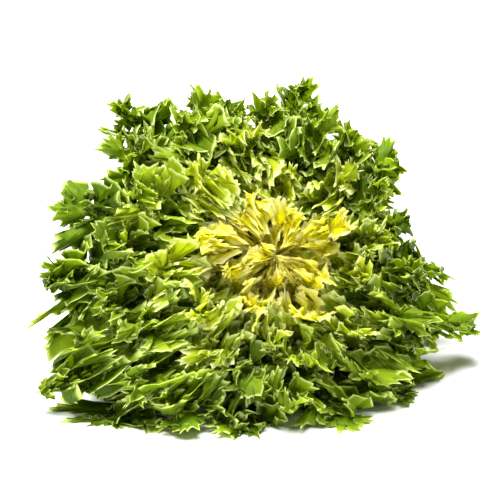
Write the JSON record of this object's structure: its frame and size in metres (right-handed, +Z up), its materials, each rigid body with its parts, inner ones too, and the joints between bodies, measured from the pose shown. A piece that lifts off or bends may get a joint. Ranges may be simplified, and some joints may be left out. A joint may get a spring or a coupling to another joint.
{
  "type": "curly endive head",
  "caption": "Whole head of curly endive lying on its side: frilled, deeply lobed leaves in a spiral round a short cut stem, deep green outside and yellow at the heart.",
  "frame": {"origin": "on the surface that the head lies on, under the middle of its bounding box", "axes": "+Z up; +X to the right across the head, its widest way; -Y towards the front, where the open heart faces, and +Y towards the cut stem"},
  "size_m": [0.3474, 0.235, 0.2038],
  "materials": {
    "stem": "cream-white plant stem, cut square and a little browned at its foot",
    "heart_leaf": "pale yellow leaf, thin and translucent, satin with fine veins",
    "inner_leaf": "yellow-green leaf, satin with fine veins",
    "middle_leaf": "fresh green leaf, satin with fine veins, paler rib",
    "outer_leaf": "deep green leaf, satin with fine veins, pale rib and stalk"
  },
  "bodies": {
    "root": {"stem": "stem", "heart_leaf_01": "heart_leaf", "heart_leaf_02": "heart_leaf", "heart_leaf_03": "heart_leaf", "heart_leaf_04": "heart_leaf", "heart_leaf_05": "heart_leaf", "heart_leaf_06": "heart_leaf", "heart_leaf_07": "heart_leaf", "heart_leaf_08": "heart_leaf", "heart_leaf_09": "heart_leaf", "heart_leaf_10": "heart_leaf", "heart_leaf_11": "heart_leaf", "inner_leaf_01": "inner_leaf", "inner_leaf_02": "inner_leaf", "inner_leaf_03": "inner_leaf", "inner_leaf_04": "inner_leaf", "inner_leaf_05": "inner_leaf", "inner_leaf_06": "inner_leaf", "inner_leaf_07": "inner_leaf", "inner_leaf_08": "inner_leaf", "inner_leaf_09": "inner_leaf", "inner_leaf_10": "inner_leaf", "inner_leaf_11": "inner_leaf", "middle_leaf_01": "middle_leaf", "middle_leaf_02": "middle_leaf", "middle_leaf_03": "middle_leaf", "middle_leaf_04": "middle_leaf", "middle_leaf_05": "middle_leaf", "middle_leaf_06": "middle_leaf", "middle_leaf_07": "middle_leaf", "middle_leaf_08": "middle_leaf", "middle_leaf_09": "middle_leaf", "middle_leaf_10": "middle_leaf", "middle_leaf_11": "middle_leaf", "middle_leaf_12": "middle_leaf", "middle_leaf_13": "middle_leaf", "middle_leaf_14": "middle_leaf", "middle_leaf_15": "middle_leaf", "middle_leaf_16": "middle_leaf", "middle_leaf_17": "middle_leaf", "outer_leaf_01": "outer_leaf", "outer_leaf_02": "outer_leaf", "outer_leaf_03": "outer_leaf", "outer_leaf_04": "outer_leaf", "outer_leaf_05": "outer_leaf", "outer_leaf_06": "outer_leaf", "outer_leaf_07": "outer_leaf", "outer_leaf_08": "outer_leaf", "outer_leaf_09": "outer_leaf", "outer_leaf_10": "outer_leaf", "outer_leaf_11": "outer_leaf", "outer_leaf_12": "outer_leaf", "outer_leaf_13": "outer_leaf", "outer_leaf_14": "outer_leaf", "outer_leaf_15": "outer_leaf", "outer_leaf_16": "outer_leaf", "outer_leaf_17": "outer_leaf"}
  },
  "joints": []
}
